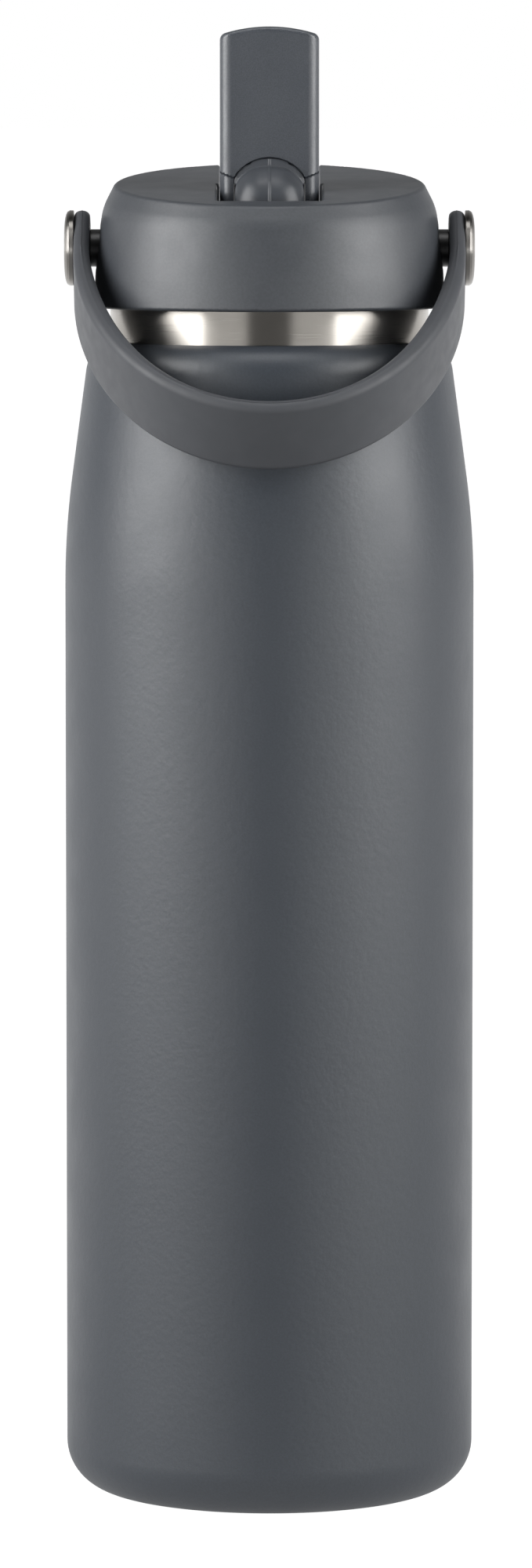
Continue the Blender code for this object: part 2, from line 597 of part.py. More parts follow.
def make_mouthpiece(finish, body):
    """Soft drinking nozzle lying in the spout's channel."""
    front_q = SPOUT_FACE_Q - SPOUT_PLATE - GAP
    back_q = SPOUT_BACK_Q + GAP
    middle_q = (front_q + back_q) / 2
    half_depth = (front_q - back_q) / 2
    end_s = SPOUT_LENGTH - 2 * SPOUT_TIP_WALL - GAP
    outline = rounded_rectangle(MOUTHPIECE_HALF_WIDTH, half_depth, MOUTHPIECE_ROUND, 3)
    nozzle = prism(outline, MOUTHPIECE_START_S, end_s,
                   lambda x, q, s: spout_point(x, s, q + middle_q))
    piece = object_from("mouthpiece", nozzle, finish, body)
    bore = cylinder(MOUTHPIECE_BORE_RADIUS, MOUTHPIECE_START_S - MM, end_s + MM)
    cut(piece, tool_from("mouthpiece_bore_tool", shifted(bore, y=HINGE_Y - middle_q, z=HINGE_Z)))


def make_spout_pins(finish, body):
    for side, hand in ((-1, "left"), (1, "right")):
        pin = cylinder(SPOUT_PIN_RADIUS, SPOUT_PIN_INNER_X, SPOUT_PIN_OUTER_X)
        object_from(f"spout_pin_{hand}", along_x(pin, side, HINGE_Y, HINGE_Z), finish, body)


# ---------------------------------------------------------------- handle

def handle_point(x, v, w):
    """Handle coordinates to its place at rest: v along the hanging loop, w across the strap."""
    return (x, -v * math.cos(HANDLE_HANG) - w * math.sin(HANDLE_HANG),
            PIVOT_Z - v * math.sin(HANDLE_HANG) + w * math.cos(HANDLE_HANG))


def strap_section(inner, outer, half_width, flare=0.0, extra=0.0):
    """Ring of points across the strap, between its inner and outer edge points (x, v)."""
    inner = Vector(inner)
    outer = Vector(outer)
    middle = (inner + outer) / 2
    across = (outer - inner).normalized()
    corner = min(STRAP_ROUND, half_width * 0.6)
    points = []
    for n, w in rounded_rectangle((STRAP_THICKNESS + extra) / 2, half_width, corner, 2):
        place = middle + across * (n - extra / 2)
        points.append(handle_point(place.x, place.y - flare * w / half_width, w))
    return points


def make_handle_strap(finish, body):
    outer_x = ARM_INNER_X + STRAP_THICKNESS

    def arm_rings(side):
        rings = []
        for degrees in (76, 52, 26, 0):
            angle = math.radians(degrees)
            v = -STRAP_HALF_WIDTH * math.sin(angle)
            half_width = STRAP_HALF_WIDTH * math.cos(angle)
            rings.append(strap_section((side * ARM_INNER_X, v), (side * outer_x, v), half_width))
        return rings

    loop_rings = []
    for k in range(LOOP_STEPS + 1):
        angle = math.pi * k / LOOP_STEPS
        inner = (ARM_INNER_X * math.cos(angle), ARM_STRAIGHT + LOOP_INNER_LENGTH * math.sin(angle))
        outer = (outer_x * math.cos(angle), ARM_STRAIGHT + LOOP_OUTER_LENGTH * math.sin(angle))
        bulge = math.sin(angle)
        half_width = STRAP_HALF_WIDTH + STRAP_WIDENING * bulge
        extra = STRAP_BEND_EXTRA * math.sin(2 * angle) * math.cos(angle) ** 3
        loop_rings.append(strap_section(inner, outer, half_width, STRAP_FLARE * bulge, extra))
    rings = arm_rings(1) + loop_rings + list(reversed(arm_rings(-1)))
    strap = object_from("handle_strap", lofted(rings), finish, body)
    for side, hand in ((-1, "left"), (1, "right")):
        hole = cylinder(POST_SHANK_RADIUS + GAP, ARM_INNER_X - MM, outer_x + MM)
        cut(strap, tool_from(f"strap_hole_tool_{hand}", along_x(hole, side, 0.0, PIVOT_Z)))


def make_pivots(post_finish, rivet_finish, body):
    """A shouldered post in each side of the lid, and a domed rivet that keeps the strap on it."""
    outer_x = ARM_INNER_X + STRAP_THICKNESS
    bore_radius = RIVET_STEM_RADIUS + GAP
    head_x = outer_x + GAP
    bore_bottom = head_x - RIVET_STEM_LENGTH - GAP
    for side, hand in ((-1, "left"), (1, "right")):
        post = [(0.0, POST_INNER_X), (POST_RADIUS, POST_INNER_X), (POST_RADIUS, ARM_INNER_X - GAP),
                (POST_SHANK_RADIUS, ARM_INNER_X - GAP), (POST_SHANK_RADIUS, outer_x),
                (bore_radius, outer_x), (bore_radius, bore_bottom), (0.0, bore_bottom)]
        object_from(f"pivot_post_{hand}", along_x(turned(post, SMALL_SEGMENTS), side, 0.0, PIVOT_Z),
                    post_finish, body)
        crown = RIVET_THICKNESS - RIVET_RIM
        rivet = [(0.0, bore_bottom + GAP), (RIVET_STEM_RADIUS, bore_bottom + GAP),
                 (RIVET_STEM_RADIUS, head_x), (RIVET_RADIUS, head_x)]
        rivet += [(share * RIVET_RADIUS, head_x + RIVET_RIM + crown * math.sqrt(1 - share ** 5))
                  for share in (1.0, 0.96, 0.88, 0.7, 0.4, 0.0)]
        object_from(f"rivet_{hand}", along_x(turned(rivet, 24), side, 0.0, PIVOT_Z), rivet_finish, body)


# ---------------------------------------------------------------- assembly

def make_body(name, place):
    empty = bpy.data.objects.new(name, None)
    empty.location = place
    bpy.context.scene.collection.objects.link(empty)
    return empty


def main():
    for old in list(bpy.data.objects):
        bpy.data.objects.remove(old, do_unlink=True)
    finishes = make_materials()
    vessel = make_body("vessel", (0.0, 0.0, 0.0))
    gasket = make_body("gasket", (0.0, 0.0, NECK_RIM_Z))
    lid = make_body("lid", (0.0, 0.0, LID_CEILING_Z))
    spout = make_body("spout", (0.0, HINGE_Y, HINGE_Z))
    handle = make_body("handle", (0.0, 0.0, PIVOT_Z))

    make_outer_shell(finishes["slate_coat"], vessel)
    make_neck_ring(finishes["bare_steel"], vessel)
    make_inner_liner(finishes["bare_steel"], vessel)
    make_base(finishes["bare_steel"], finishes["bare_steel"], vessel)

    make_lid_gasket(finishes["grey_silicone"], gasket)
    make_lid_cap(finishes["grey_plastic"], lid)
    make_lid_plug(finishes["grey_plastic"], lid)
    make_lid_foam(finishes["white_foam"], lid)
    make_straw(finishes["clear_plastic"], lid)
    make_vent_valve(finishes["grey_silicone"], lid)
    make_flex_elbow(finishes["grey_silicone"], lid)
    make_spout_pins(finishes["bare_steel"], lid)
    make_pivots(finishes["black_plastic"], finishes["bare_steel"], lid)

    make_spout_shell(finishes["grey_plastic"], spout)
    make_mouthpiece(finishes["grey_silicone"], spout)
    make_handle_strap(finishes["strap_rubber"], handle)


main()
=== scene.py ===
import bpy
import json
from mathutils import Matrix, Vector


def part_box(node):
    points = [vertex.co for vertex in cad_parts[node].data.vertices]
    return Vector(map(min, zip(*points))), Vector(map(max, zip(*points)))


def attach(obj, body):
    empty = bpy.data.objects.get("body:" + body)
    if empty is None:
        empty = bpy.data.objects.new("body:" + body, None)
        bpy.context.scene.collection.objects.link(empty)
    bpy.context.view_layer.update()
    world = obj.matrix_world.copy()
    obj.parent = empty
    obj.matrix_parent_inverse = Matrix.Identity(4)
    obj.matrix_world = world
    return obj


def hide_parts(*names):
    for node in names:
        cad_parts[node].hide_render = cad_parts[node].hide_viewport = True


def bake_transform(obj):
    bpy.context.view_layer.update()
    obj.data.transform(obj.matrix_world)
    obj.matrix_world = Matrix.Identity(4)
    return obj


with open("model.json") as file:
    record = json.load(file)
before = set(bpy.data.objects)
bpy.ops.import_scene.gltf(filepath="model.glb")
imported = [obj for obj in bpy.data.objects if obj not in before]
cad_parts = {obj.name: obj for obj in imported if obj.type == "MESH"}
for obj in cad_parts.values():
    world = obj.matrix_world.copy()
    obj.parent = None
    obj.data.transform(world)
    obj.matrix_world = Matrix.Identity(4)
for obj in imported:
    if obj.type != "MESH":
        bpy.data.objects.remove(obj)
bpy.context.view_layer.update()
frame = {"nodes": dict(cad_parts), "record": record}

# The looks of an insulated bottle: fine surfaces, materials, light and camera around the CAD frame.
# The scene is in metres.  The shape fields below work in millimetres, because their radii and
# clearances are easiest to read that way: a field is a function of points (x, y, z) that is negative
# inside a shape, zero on its surface and positive outside it, and close to a distance near zero.

import json
import math

import bmesh
import bpy
import numpy as np
from mathutils import Matrix, Vector

MM = 0.001
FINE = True
TURN_STEPS = 256 if FINE else 96


# ---------------------------------------------------------------- places read from the frame

def joint(name):
    return next(j for j in frame["record"]["behaviour"]["joints"] if j["name"] == name)


def node_box(name):
    low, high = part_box(name)
    return np.array(low) / MM, np.array(high) / MM


SHELL_HIGH = node_box("outer_shell")[1]
NECK_LOW, NECK_HIGH = node_box("neck_ring")
LID_LOW = node_box("lid_cap")[0]
SPOUT_LOW, SPOUT_HIGH = node_box("spout_shell")
RIVET_HIGH = node_box("rivet_right")[1]
POST_LOW, POST_HIGH = node_box("pivot_post_right")
HINGE = np.array(joint("spout_fold")["pos_m"]) / MM
PIVOT = np.array(joint("handle_swing")["pos_m"]) / MM
GAP = 0.3                                   # clearance between pieces that move on each other

# ---- vessel, in millimetres
BODY_RADIUS = SHELL_HIGH[0]
BASE_FILLET = 8.85
BASE_OPENING = 27.0
BASE_LIP = 0.2
COAT_WALL = 0.5
SHOULDER_START = 164.0                      # where the wall begins to lean in
SHOULDER_CURVE = 150.0
SHOULDER_SLOPE = math.radians(7.6)
SHOULDER_EDGE = 6.35
SHOULDER_END = math.radians(69.3)           # where the edge's arc meets the neck band
SHOULDER_TOP = SHELL_HIGH[2]
COVER_GROOVES = (9.0, 17.5)
COVER_EDGE = 0.35
NECK_BORE = 26.3
NECK_RIM = 0.6
THREAD_CREST = 25.3
THREAD_START = 206.0
THREAD_TURNS = 1.75
THREAD_LEAD = 4.0
THREAD_FADE = 1 / 8                         # the part of a turn over which each end fades out
THREAD_ROOT_DEEP = 0.3                      # how far the ridge is sunk into the neck's wall
THREAD_ROOT_HALF = 0.85
THREAD_CREST_HALF = 0.45

# ---- lid
LID_BOTTOM = LID_LOW[2]
LID_CEILING = 219.3                         # inside of the lid; its outside tilts from here up
LID_TOP = 235.9                             # the slanted top, measured on the axis
LID_TILT = math.radians(7.0)
LID_RADIUS = 31.4
LID_BARREL = 1.6                            # how far the wall leans in by the chamfer's foot
LID_FOOT = 231.9                            # the chamfer's foot, measured on the axis
LID_RIM = 27.75
SKIRT_INNER = 29.3
SLOT_HALF = 9.4
SLOT_REAR_HALF = 9.0
SLOT_STEP_Y = 1.0
SLOT_FRONT = -21.3
SLOT_DEPTH = 10.5
STRAW_Y = -9.0
STRAW_HOLE = 5.0
VENT_Y = 14.0
VENT_HOLE = 1.2
PIN_RADIUS = 1.2
PIN_HOLE_END = 12.9

# ---- spout; s runs from the hinge axis to the tip, and q from the hinge axis to the outer face
SPOUT_HALF = SPOUT_HIGH[0]
SPOUT_LENGTH = SPOUT_HIGH[2] - HINGE[2]
SPOUT_FACE = HINGE[1] - SPOUT_LOW[1]
SPOUT_BACK = HINGE[1] - SPOUT_HIGH[1]
SPOUT_PLATE = 2.0                           # thickness of the outer plate
EAR_STEP = 0.4                              # the hinge ears stand back from the plate
EAR_TAPER, EAR_TAPER_Q, EAR_TAPER_SLOPE = 0.45, 1.0, 0.35     # they narrow towards the outer face
FOOT_S, FOOT_RISE = 6.9, 1.1                # lower edge of the plate, and its rise outwards
FOOT_RISE_START, FOOT_RISE_RUN = 6.0, 2.8   # the stretch across the plate over which it rises
CHANNEL_HALF, CHANNEL_Q = 6.75, 3.0
CHANNEL_TO_TIP = 3.2
WINDOW_HALF, WINDOW_BACK_Q = 6.3, 2.0
WINDOW_ARCH, WINDOW_ARCH_S = 7.54, 3.06     # the arch's radius and centre
NOZZLE_Q, NOZZLE_FOOT_S = -0.3, 20.0
NOZZLE_HOLE, NOZZLE_RADIUS, NOZZLE_BORE = 3.2, 2.9, 2.0
MOUTHPIECE_HALF, MOUTHPIECE_FOOT_S = 6.3, 10.2

# ---- soft knee
KNEE_DOME = ((0.0, -11.0, 231.6), 6.95, 7.1, 7.7, 5.0)     # centre, across, deep, up, down
KNEE_SQUARE = 2.3
KNEE_HALF = 6.22
KNEE_STEM, KNEE_STEM_TOP = 4.7, 229.0
KNEE_STEM_FOOT = LID_CEILING + 0.6
KNEE_NECK_HALF, KNEE_NECK_DEEP = 5.4, 2.6
KNEE_NECK_S = (3.8, 9.9)
KNEE_WEB_Q, KNEE_WEB_DEEP = 0.2, 0.7
KNEE_WEB_S, KNEE_WEB_TALL = 5.0, 3.0
PLUG_Q, PLUG_DEEP, PLUG_FLARE = 2.5, 2.15, 0.4
PLUG_FOOT_S = 5.6
ROUGH_NECK = (234.0, 240.1)                 # heights of the rough shapes that the knee settles from
ROUGH_WEB, ROUGH_WEB_DEEP = (232.2, 238.2), 0.8
ROUGH_PLUG_Q, ROUGH_PLUG_FOOT = (0.5, 4.9), 236.0
ROUGH_PLUG_STEPS = ((6.2, 238.0), (5.2, 239.2), (3.2, 240.4))     # half width and top of each step

# ---- strap, its posts and rivets
ARM_INNER = 32.2
ARM_STRAIGHT = 7.2
STRAP_THICK = 2.8
STRAP_HALF = 6.7
STRAP_FLAT_HALF = 0.06                      # the flat left between the round corners of an edge
STRAP_LINE_HALF, STRAP_LINE_RISE = 0.05, 0.09
LOOP_INNER = 43.6
LOOP_OUTER = 46.2
LOOP_FLARE = 0.5
LOOP_WIDER = 0.2
BEND_EXTRA = 1.3
HANG = math.radians(37.5)
SEAT = 0.06                                 # pieces that touch the strap stand this close to it
RIVET_INSET = 0.05                          # the drawn head is this much smaller than the CAD's
RIVET_CROWN = 0.86
RIVET_EDGE = 0.12
EDGE_BREAK = 0.1                            # small chamfer on the rivets' rims and the posts
RIVET_PIN_START = 30.5
POST_BORE_START = 30.2
POST_SHANK = 2.5

# ---- stage; a ramp is (from low, from high, to low, to high)
FLOOR_HALF = 40.0                           # metres
FLOOR_PALE = 0.13
FLOOR_SEEN = 1.0                            # how brightly the floor itself shows
FLOOR_BACK_RAMP = (-0.1, 0.2, 0.26, 1.0)    # glow of the floor by its Y in metres
FLOOR_NEAR_RAMP = (0.03, 0.11, 1.3, 1.0)    # and by its distance from the bottle's axis
WORLD_BACK_RAMP = (0.3, 0.9, 0.0, 1.3)      # light of the surround by its direction's Y
WORLD_RISE_RAMP = (0.05, 0.3, 1.0, 0.32)    # and by its direction's Z
CAMERA_PLACE = (-0.00062, -1.4, 0.2544)
CAMERA_PITCH = math.radians(5.16)
CAMERA_LENS = 178.85
WHITE = (1.0, 1.0, 1.0, 1.0)


def added(name, data):
    """A new object in the scene."""
    made = bpy.data.objects.new(name, data)
    bpy.context.scene.collection.objects.link(made)
    return made


# ---------------------------------------------------------------- node helpers for materials

def mapped(tree, value, ramp):
    """A Map Range node; the ramp is (from low, from high, to low, to high)."""
    node = tree.nodes.new("ShaderNodeMapRange")
    for socket, limit in zip(("From Min", "From Max", "To Min", "To Max"), ramp):
        node.inputs[socket].default_value = limit
    tree.links.new(value, node.inputs["Value"])
    return node


def product(tree, first, second):
    node = tree.nodes.new("ShaderNodeMath")
    node.operation = "MULTIPLY"
    tree.links.new(first, node.inputs[0])
    tree.links.new(second, node.inputs[1])
    return node.outputs["Value"]


class Finish:
    """A Principled material being wired up, with its coordinates in millimetres."""

    def __init__(self, name, colour, roughness, metallic=0.0):
        self.material = bpy.data.materials.new(name)
        self.material.use_nodes = True
        self.tree = self.material.node_tree
        self.shader = self.tree.nodes["Principled BSDF"]
        self.set("Base Color", (*colour, 1.0))
        self.set("Roughness", roughness)
        self.set("Metallic", metallic)
        coordinates = self.tree.nodes.new("ShaderNodeTexCoord")
        scale = self.tree.nodes.new("ShaderNodeMapping")
        scale.inputs["Scale"].default_value = (1 / MM, 1 / MM, 1 / MM)
        self.link(coordinates.outputs["Object"], scale.inputs["Vector"])
        self.place = scale.outputs["Vector"]

    def set(self, socket, value):
        self.shader.inputs[socket].default_value = value

    def link(self, output, socket):
        self.tree.links.new(output, socket)

    def stretched(self, x, y, z):
        """Coordinates scaled along each axis, so that a noise becomes a grain or a brushed line."""
        mapping = self.tree.nodes.new("ShaderNodeMapping")
        mapping.inputs["Scale"].default_value = (x, y, z)
        self.link(self.place, mapping.inputs["Vector"])
        return mapping.outputs["Vector"]

    def noise(self, size, detail, vector=None):
        """Noise whose features are about size millimetres across."""
        node = self.tree.nodes.new("ShaderNodeTexNoise")
        node.inputs["Scale"].default_value = 1 / size
        node.inputs["Detail"].default_value = detail
        self.link(vector or self.place, node.inputs["Vector"])
        return node.outputs["Fac"]

    def ranged(self, value, low, high, from_low=0.3, from_high=0.7):
        """Spreads a noise between two values, clipped outside its middle part."""
        return mapped(self.tree, value, (from_low, from_high, low, high)).outputs["Result"]

    def roughness_between(self, value, low, high):
        """Roughness that goes from low to high with a noise."""
        self.link(self.ranged(value, low, high), self.shader.inputs["Roughness"])

    def colour_between(self, value, first, second):
        """Base colour that goes from the first to the second as the value rises."""
        node = self.tree.nodes.new("ShaderNodeMix")
        node.data_type = "RGBA"
        # Sockets of the Mix node share their names, so its colours are taken by number.
        node.inputs[6].default_value = (*first, 1.0)
        node.inputs[7].default_value = (*second, 1.0)
        self.link(value, node.inputs[0])
        self.link(node.outputs[2], self.shader.inputs["Base Color"])

    def bump(self, height, depth_mm, below=None):
        """Relief of the given depth, laid over another bump when one is given."""
        node = self.tree.nodes.new("ShaderNodeBump")
        node.inputs["Strength"].default_value = 1.0
        node.inputs["Distance"].default_value = depth_mm * MM
        self.link(height, node.inputs["Height"])
        if below is not None:
            self.link(below, node.inputs["Normal"])
        self.link(node.outputs["Normal"], self.shader.inputs["Normal"])
        return node.outputs["Normal"]


def powder_coat():
    """Slate powder coat: orange peel, a finer grit and slight cloudiness."""
    dark, light = (0.028, 0.035, 0.0455), (0.0355, 0.044, 0.0575)
    made = Finish("powder_coat", light, 0.45)
    made.set("Specular IOR Level", 1.0)
    cloud = made.noise(9.0, 2.0)
    grit = made.noise(0.35, 4.0)
    made.colour_between(made.ranged(grit, 0, 1, 0.35, 0.65), dark, light)
    made.roughness_between(cloud, 0.43, 0.48)
    peel = made.bump(made.noise(1.3, 1.0), 0.035)
    made.bump(grit, 0.012, below=peel)
    return made.material


def moulded_plastic(name, dark, light, roughness, grain_mm=0.45, depth_mm=0.02):
    """Hard plastic with a spark-eroded grain over a slight waviness."""
    made = Finish(name, light, roughness)
    made.set("Specular IOR Level", 1.0)
    grain = made.noise(grain_mm, 3.0)
    made.colour_between(made.ranged(grain, 0, 1, 0.35, 0.65), dark, light)
    made.roughness_between(made.noise(6.0, 2.0), roughness - 0.03, roughness + 0.03)
    coarse = made.bump(made.noise(1.6, 1.0), depth_mm)
    made.bump(grain, depth_mm * 0.6, below=coarse)
    return made.material


def silicone(name, dark, light, roughness):
    """Soft rubber: slightly cloudy, with a faint satin relief."""
    made = Finish(name, light, roughness)
    made.colour_between(made.ranged(made.noise(4.0, 2.0), 0, 1), dark, light)
    made.roughness_between(made.noise(2.5, 3.0), roughness - 0.04, roughness + 0.05)
    made.bump(made.noise(0.9, 2.0), 0.006)
    return made.material


def brushed_steel(name, colour, roughness, axis="Z"):
    """Steel turned about an axis: fine rings that spread its reflections across the rings."""
    made = Finish(name, colour, roughness, 1.0)
    line_mm, streak_mm = 0.09, 14.0
    across, along = 1 / line_mm, 1 / streak_mm
    scales = (along, along, across) if axis == "Z" else (across, along, along)
    lines = made.noise(1.0, 2.0, made.stretched(*scales))
    tangent = made.tree.nodes.new("ShaderNodeTangent")
    tangent.direction_type = "RADIAL"
    tangent.axis = axis
    made.link(tangent.outputs["Tangent"], made.shader.inputs["Tangent"])
    made.set("Anisotropic", 0.9)
    made.set("Anisotropic Rotation", 0.25)
    made.roughness_between(lines, roughness - 0.03, roughness + 0.04)
    warm = tuple(c * 0.94 for c in colour)
    made.colour_between(made.ranged(made.noise(5.0, 2.0), 0, 1), warm, colour)
    made.bump(lines, 0.0015)
    return made.material


def clear_polymer():
    made = Finish("clear_polymer", (0.86, 0.88, 0.88), 0.18)
    made.set("Transmission Weight", 0.7)
    made.roughness_between(made.noise(3.0, 2.0), 0.14, 0.24)
    made.bump(made.noise(1.5, 1.0), 0.01)
    return made.material


def foam():
    made = Finish("foam", (0.85, 0.85, 0.82), 0.9)
    cells = made.noise(0.8, 2.0)
    made.colour_between(made.ranged(cells, 0, 1), (0.74, 0.74, 0.71), (0.88, 0.88, 0.85))
    made.bump(cells, 0.15)
    return made.material


# ---------------------------------------------------------------- shape fields, in millimetres

def both(a, b, round_mm=0.0):
    """Inside both a and b; the edge where they meet is rounded."""
    if round_mm == 0.0:
        return np.maximum(a, b)
    corner = np.hypot(np.maximum(a + round_mm, 0.0), np.maximum(b + round_mm, 0.0))
    return np.minimum(-round_mm, np.maximum(a, b)) + corner


def either(a, b, round_mm=0.0):
    """Inside a or b; the crease between them is filled to a radius."""
    return -both(-a, -b, round_mm)


def without(a, b, round_mm=0.0):
    """Inside a but outside b; the edge left by the cut is rounded."""
    return both(a, -b, round_mm)


def mould_line(x, rise, half_width):
    """Height of a fine raised seam along the middle of a piece."""
    return rise * np.exp(-(x / half_width) ** 2)


def lid_field(p):
    """The lid, drawn level and sheared so that it tilts more and more from its ceiling to its top."""
    x, y, z = p.T
    slope = math.tan(LID_TILT)
    height = LID_TOP - LID_CEILING
    level = (z + slope * y * LID_CEILING / height) / (1 + slope * y / height)
    level = np.where(level > LID_CEILING, level, z)
    radius = np.hypot(x, y)
    foot_radius = LID_RADIUS - LID_BARREL
    wall = radius - (LID_RADIUS - LID_BARREL * ((level - LID_BOTTOM) / (LID_FOOT - LID_BOTTOM)) ** 2)
    run, rise = foot_radius - LID_RIM, LID_TOP - LID_FOOT
    chamfer = ((radius - foot_radius) * rise + (level - LID_FOOT) * run) / math.hypot(run, rise)
    solid = both(wall, chamfer, round_mm=0.4)
    solid = both(solid, level - LID_TOP, round_mm=0.45)
    solid = both(solid, LID_BOTTOM - level, round_mm=0.6)
    solid = without(solid, both(radius - SKIRT_INNER, z - LID_CEILING, round_mm=0.5), round_mm=0.5)
    floor = (LID_TOP + y * slope - SLOT_DEPTH - z) * math.cos(LID_TILT)
    slot_half = np.where(y < SLOT_STEP_Y, SLOT_HALF, SLOT_REAR_HALF)
    slot = both(both(np.abs(x) - slot_half, SLOT_FRONT - y, round_mm=0.9), floor, round_mm=0.8)
    solid = without(solid, slot, round_mm=0.45)
    solid = without(solid, np.hypot(x, y - STRAW_Y) - STRAW_HOLE, round_mm=0.4)
    solid = without(solid, np.hypot(x, y - VENT_Y) - VENT_HOLE, round_mm=0.2)
    post_radius = POST_HIGH[2] - PIVOT[2] + GAP
    post_hole = both(np.hypot(y, z - PIVOT[2]) - post_radius, POST_LOW[0] - GAP - np.abs(x))
    solid = without(solid, post_hole, round_mm=0.4)
    pin_hole = both(np.hypot(y - HINGE[1], z - HINGE[2]) - PIN_RADIUS - GAP, np.abs(x) - PIN_HOLE_END)
    return without(solid, pin_hole, round_mm=0.2)


def spout_frame(p):
    """x across, s from the hinge axis to the tip, q from the hinge axis to the outer face."""
    return p[:, 0], p[:, 2] - HINGE[2], HINGE[1] - p[:, 1]


def window_field(x, s, shrink=0.0):
    """The arched opening at the foot of the plate, open downwards."""
    arch = np.hypot(x, np.maximum(s - WINDOW_ARCH_S, 0.0)) - WINDOW_ARCH + shrink
    return both(np.abs(x) - WINDOW_HALF + shrink, arch, round_mm=0.5)


def spout_field(p):
    """A plate with rounded sides, hinge ears at its foot, a channel behind and the arched window."""
    x, s, q = spout_frame(p)
    tip = np.hypot(x, s - (SPOUT_LENGTH - LID_RIM)) - LID_RIM
    solid = both(both(np.abs(x) - SPOUT_HALF, q - SPOUT_FACE, round_mm=2.1), SPOUT_BACK - q, round_mm=0.6)
    solid = both(solid, tip, round_mm=0.9)
    knuckle = np.minimum(np.hypot(s, q) - SPOUT_FACE, -s)
    solid = both(solid, knuckle, round_mm=0.3)
    ear_inset = np.clip(EAR_TAPER_SLOPE * (q - EAR_TAPER_Q), 0.0, EAR_TAPER)
    ear = both(np.abs(x) - SPOUT_HALF + ear_inset, q - SPOUT_FACE + EAR_STEP, round_mm=1.5)
    foot_s = FOOT_S + FOOT_RISE * np.clip((np.abs(x) - FOOT_RISE_START) / FOOT_RISE_RUN, 0.0, 1.0)
    solid = both(solid, np.minimum(ear, foot_s - s))
    channel = both(np.abs(x) - CHANNEL_HALF, q - CHANNEL_Q, round_mm=0.9)
    channel = both(channel, s - (SPOUT_LENGTH - CHANNEL_TO_TIP), round_mm=0.9)
    solid = without(solid, channel, round_mm=0.4)
    nozzle_hole = both(np.hypot(x, q - NOZZLE_Q) - NOZZLE_HOLE, NOZZLE_FOOT_S - s)
    solid = without(solid, nozzle_hole, round_mm=0.3)
    solid = without(solid, both(window_field(x, s), WINDOW_BACK_Q - q), round_mm=0.15)
    return without(solid, np.hypot(s, q) - PIN_RADIUS - GAP, round_mm=0.2)


def mouthpiece_field(p):
    """A soft block behind the plate, with a nozzle to the tip, its bore and a mould line."""
    x, s, q = spout_frame(p)
    middle = (SPOUT_FACE - SPOUT_PLATE + SPOUT_BACK) / 2
    half = (SPOUT_FACE - SPOUT_PLATE - SPOUT_BACK) / 2 - GAP
    body_top, nozzle_top = SPOUT_LENGTH - CHANNEL_TO_TIP - GAP, SPOUT_LENGTH - 0.6
    body = both(np.abs(x) - MOUTHPIECE_HALF, np.abs(q - middle) - half, round_mm=2.4)
    body = both(body, np.maximum(MOUTHPIECE_FOOT_S - s, s - body_top), round_mm=0.7)
    nozzle = both(np.hypot(x, q - NOZZLE_Q) - NOZZLE_RADIUS, s - nozzle_top, round_mm=0.8)
    nozzle = both(nozzle, NOZZLE_FOOT_S - s)
    solid = either(body, nozzle, round_mm=0.4)
    solid = solid - mould_line(x, 0.1, 0.25) * (q < 0)
    return without(solid, np.hypot(x, q - NOZZLE_Q) - NOZZLE_BORE, round_mm=0.4)


def egg(p, centre, across, deep, up, down, square):
    """Egg about a centre: round across its front for square 2, and squarer the higher that is."""
    x, y, z = (p - np.array(centre)).T
    tall = np.where(z > 0, up, down)
    profile = np.sqrt((y / deep) ** 2 + (z / tall) ** 2)
    reach = ((np.abs(x) / across) ** square + profile ** square) ** (1 / square)
    return (reach - 1.0) * min(across, deep, up)


def knee_field(p):
    """A stem in the lid, a dome, a neck up into the spout, side webs and a plug in the window."""
    x, s, q = spout_frame(p)
    y, z = p[:, 1], p[:, 2]
    stem = both(np.hypot(x, y - STRAW_Y) - KNEE_STEM, z - KNEE_STEM_TOP, round_mm=1.0)
    stem = both(stem, KNEE_STEM_FOOT - z)
    flared = q + PLUG_FLARE * np.minimum(window_field(x, s), 0.0)
    plug = both(window_field(x, s, 0.02), np.abs(flared - PLUG_Q) - PLUG_DEEP, round_mm=0.12)
    plug = both(plug, PLUG_FOOT_S - s, round_mm=0.5)
    web = both(np.abs(x) - WINDOW_HALF, np.abs(q - KNEE_WEB_Q) - KNEE_WEB_DEEP, round_mm=0.3)
    web = both(web, np.abs(s - KNEE_WEB_S) - KNEE_WEB_TALL, round_mm=0.3)
    neck = np.hypot(x / KNEE_NECK_HALF, q / KNEE_NECK_DEEP) * KNEE_NECK_DEEP - KNEE_NECK_DEEP
    neck = both(neck, np.maximum(s - KNEE_NECK_S[1], KNEE_NECK_S[0] - s), round_mm=0.3)
    dome = both(egg(p, *KNEE_DOME, KNEE_SQUARE), np.abs(x) - KNEE_HALF, round_mm=0.6)
    solid = either(either(stem, dome, round_mm=0.8), web, round_mm=0.2)
    solid = either(either(solid, plug, round_mm=0.1), neck, round_mm=0.3)
    return solid - mould_line(x, 0.13, 0.2) * (q > 0.9)


# ---------------------------------------------------------------- mesh makers

def new_piece(name, mesh, material, body, replaced):
    """A visible piece that stands for CAD nodes; a piece without a body is left unattached."""
    piece = added(name, mesh)
    mesh.materials.clear()
    mesh.materials.append(material)
    if body is not None:
        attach(piece, body)
    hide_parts(*replaced)
    return piece


def mesh_from(name, points_mm, faces, sharp_deg=40):
    """A smooth mesh with its faces pointing out and its sharp edges kept."""
    mesh = bpy.data.meshes.new(name)
    mesh.from_pydata([tuple(float(c) * MM for c in point) for point in points_mm], [], faces)
    mesh.validate()
    builder = bmesh.new()
    builder.from_mesh(mesh)
    bmesh.ops.recalc_face_normals(builder, faces=builder.faces)
    builder.to_mesh(mesh)
    builder.free()
    mesh.shade_smooth()
    mesh.set_sharp_from_angle(angle=math.radians(sharp_deg))
    return mesh


def arc(centre, radius, start_deg, end_deg, steps):
    """Points along an arc, both ends included."""
    angles = np.radians(np.linspace(start_deg, end_deg, steps + 1))
    return [(centre[0] + radius * math.cos(a), centre[1] + radius * math.sin(a)) for a in angles]


